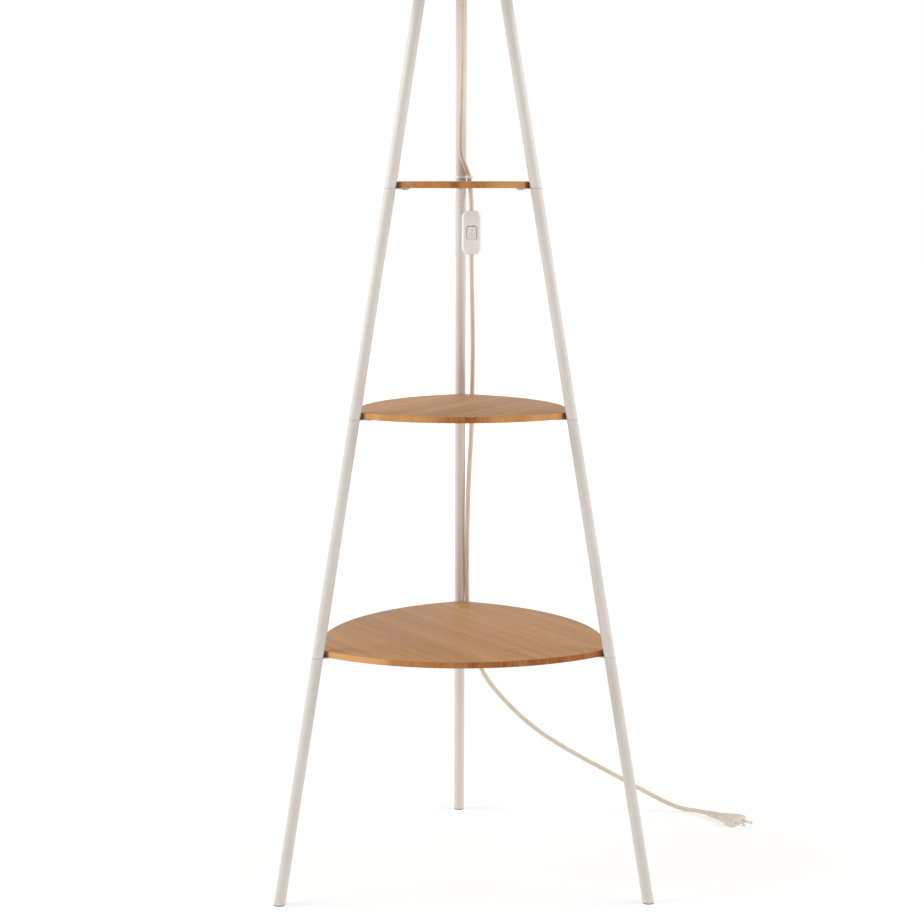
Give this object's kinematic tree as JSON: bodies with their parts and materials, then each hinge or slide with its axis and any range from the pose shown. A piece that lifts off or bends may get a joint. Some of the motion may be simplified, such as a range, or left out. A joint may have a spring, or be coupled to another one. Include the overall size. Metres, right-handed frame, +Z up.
{
  "type": "shelf floor lamp",
  "caption": "Tripod floor lamp on leaning steel legs with triangular wooden shelves, an inline rocker switch on its cord and a fabric drum shade.",
  "frame": {"origin": "on the lamp's middle axis at floor level", "axes": "+Z up, +Y towards the rear leg, +X to the right seen from the front"},
  "size_m": [0.7408, 0.5049, 1.548],
  "materials": {
    "leg_steel": "satin off-white powder coat",
    "bracket_steel": "satin powder coat",
    "foot_plastic": "matt moulded",
    "foot_felt": "dark felt",
    "shelf_wood": "satin oak veneer",
    "plated_steel": "zinc plated",
    "white_plastic": "smooth moulded",
    "ceramic_block": "matt insulating block",
    "contact_brass": "bright",
    "bulb_metal": "nickel plated",
    "bulb_glass": "opal",
    "shade_fabric": "plain linen weave",
    "shade_wire": "white coated wire",
    "cord_sheath": "matt cream sheath",
    "clip_plastic": "smooth moulded",
    "switch_plastic": "smooth moulded",
    "plug_plastic": "matt moulded",
    "pin_metal": "nickel plated"
  },
  "bodies": {
    "lamp": {"bottom_shelf": "shelf_wood", "bulb_base": "white_plastic", "bulb_cap": "bulb_metal", "bulb_globe": "bulb_glass", "cable_clip": "clip_plastic", "cord_grip": "white_plastic", "cord_lower": "cord_sheath", "cord_upper": "cord_sheath", "foot_pads": "foot_felt", "hub_plate": "leg_steel", "hub_screws": "plated_steel", "lampholder_block": "ceramic_block", "lampholder_cap": "white_plastic", "lampholder_contacts": "contact_brass", "lampholder_lead": "cord_sheath", "lampholder_shell": "white_plastic", "left_foot_cap": "foot_plastic", "left_leg_foot_tube": "leg_steel", "left_leg_lower_tube": "leg_steel", "left_leg_middle_tube": "leg_steel", "left_leg_upper_tube": "leg_steel", "left_low_bracket": "bracket_steel", "left_middle_bracket": "bracket_steel", "left_top_bracket": "bracket_steel", "leg_joining_studs": "plated_steel", "leg_thread_inserts": "plated_steel", "lower_shade_ring": "white_plastic", "middle_shelf": "shelf_wood", "nipple_nut": "plated_steel", "plug_body": "plug_plastic", "plug_pins": "pin_metal", "plug_strain_relief": "plug_plastic", "rear_foot_cap": "foot_plastic", "rear_leg_foot_tube": "leg_steel", "rear_leg_lower_tube": "leg_steel", "rear_leg_middle_tube": "leg_steel", "rear_leg_upper_tube": "leg_steel", "rear_low_bracket": "bracket_steel", "rear_middle_bracket": "bracket_steel", "rear_top_bracket": "bracket_steel", "right_foot_cap": "foot_plastic", "right_leg_foot_tube": "leg_steel", "right_leg_lower_tube": "leg_steel", "right_leg_middle_tube": "leg_steel", "right_leg_upper_tube": "leg_steel", "right_low_bracket": "bracket_steel", "right_middle_bracket": "bracket_steel", "right_top_bracket": "bracket_steel", "shade_carrier": "shade_wire", "shade_skin": "shade_fabric", "shade_top_ring": "shade_wire", "shelf_screws": "plated_steel", "switch_back_housing": "switch_plastic", "switch_front_housing": "switch_plastic", "switch_screws": "plated_steel", "switch_terminals": "contact_brass", "threaded_nipple": "plated_steel", "top_shelf": "shelf_wood", "upper_shade_ring": "white_plastic"},
    "rocker": {"switch_rocker": "switch_plastic"}
  },
  "joints": [
    {"name": "rocker_tilt", "type": "hinge", "parent": "lamp", "child": "rocker", "pos_m": [0.0156, 0.1035, 0.9485], "axis": [-1, 0, 0], "range_deg": [0, 14]}
  ]
}
